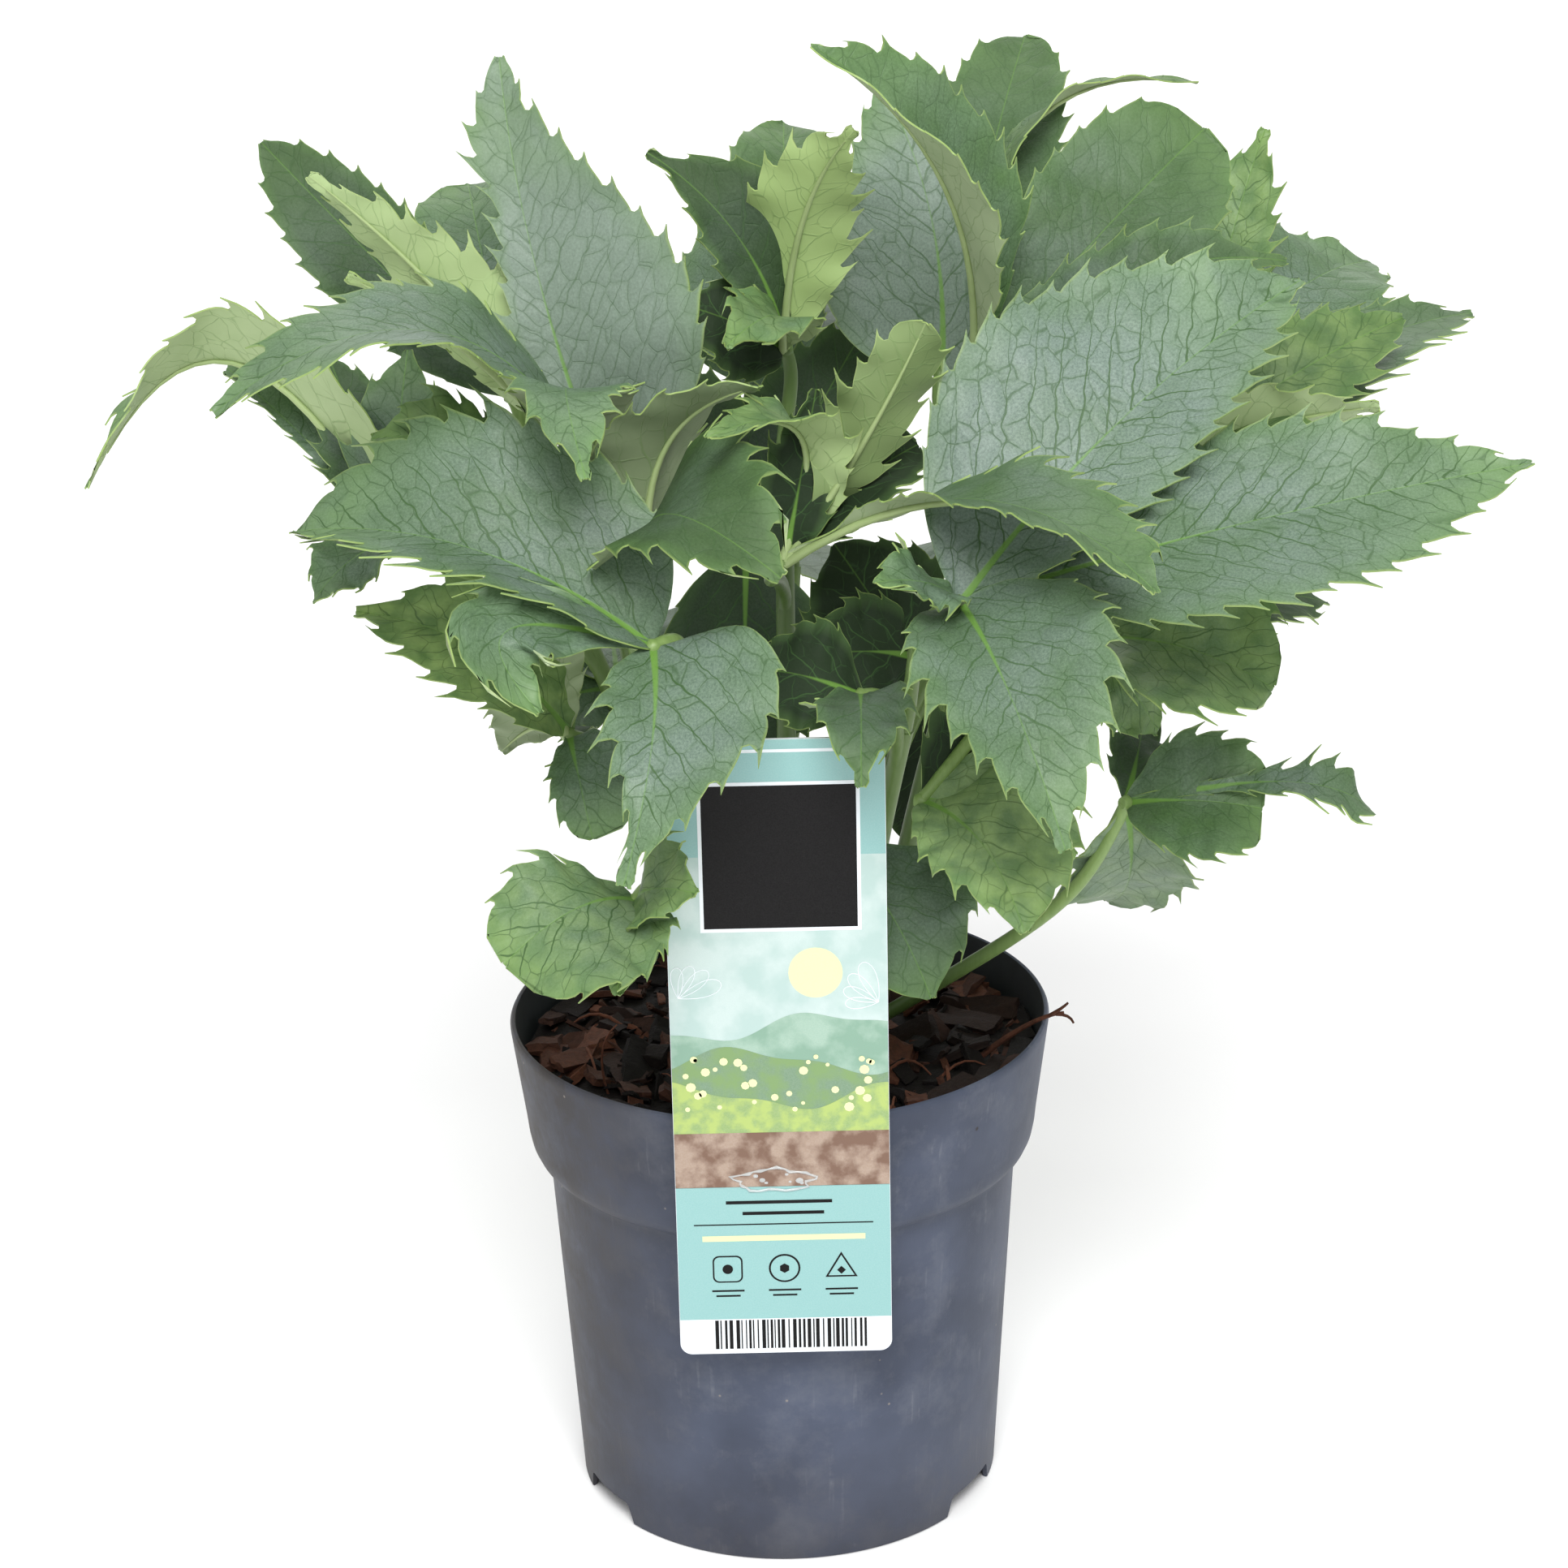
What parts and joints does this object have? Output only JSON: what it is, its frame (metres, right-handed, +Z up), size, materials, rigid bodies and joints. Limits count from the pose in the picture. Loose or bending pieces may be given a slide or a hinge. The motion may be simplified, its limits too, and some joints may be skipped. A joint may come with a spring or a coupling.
{
  "type": "potted hellebore plant",
  "caption": "Bushy hellebore with leathery, saw-toothed leaves of three leaflets, growing in a round plastic nursery pot of bark-flecked substrate, with a plain plant label glued to the rim.",
  "frame": {"origin": "centre of the pot's flat foot, on the surface that it stands on", "axes": "+Z up along the pot's axis, -Y to the front, where the plant label hangs, +X to the viewer's right"},
  "size_m": [0.3525, 0.2726, 0.3883],
  "materials": {
    "pot_plastic": "moulded plastic, satin, dusty",
    "substrate": "moist peat with red-brown bark chips",
    "foliage": "leathery leaf, silvery grey-green with a fine dark net of veins",
    "label_card": "printed plastic card, semi-gloss",
    "clear_glue": "clear hot glue"
  },
  "bodies": {
    "root": {"pot": "pot_plastic", "potting_soil": "substrate", "plant_label": "label_card", "label_glue": "clear_glue", "leafy_stem_centre": "foliage", "leafy_stem_right_front": "foliage", "leafy_stem_right": "foliage", "leafy_stem_right_back": "foliage", "leafy_stem_left_front": "foliage", "leafy_stem_left": "foliage", "leafy_stem_left_back": "foliage", "leafy_stem_back": "foliage"}
  },
  "joints": []
}
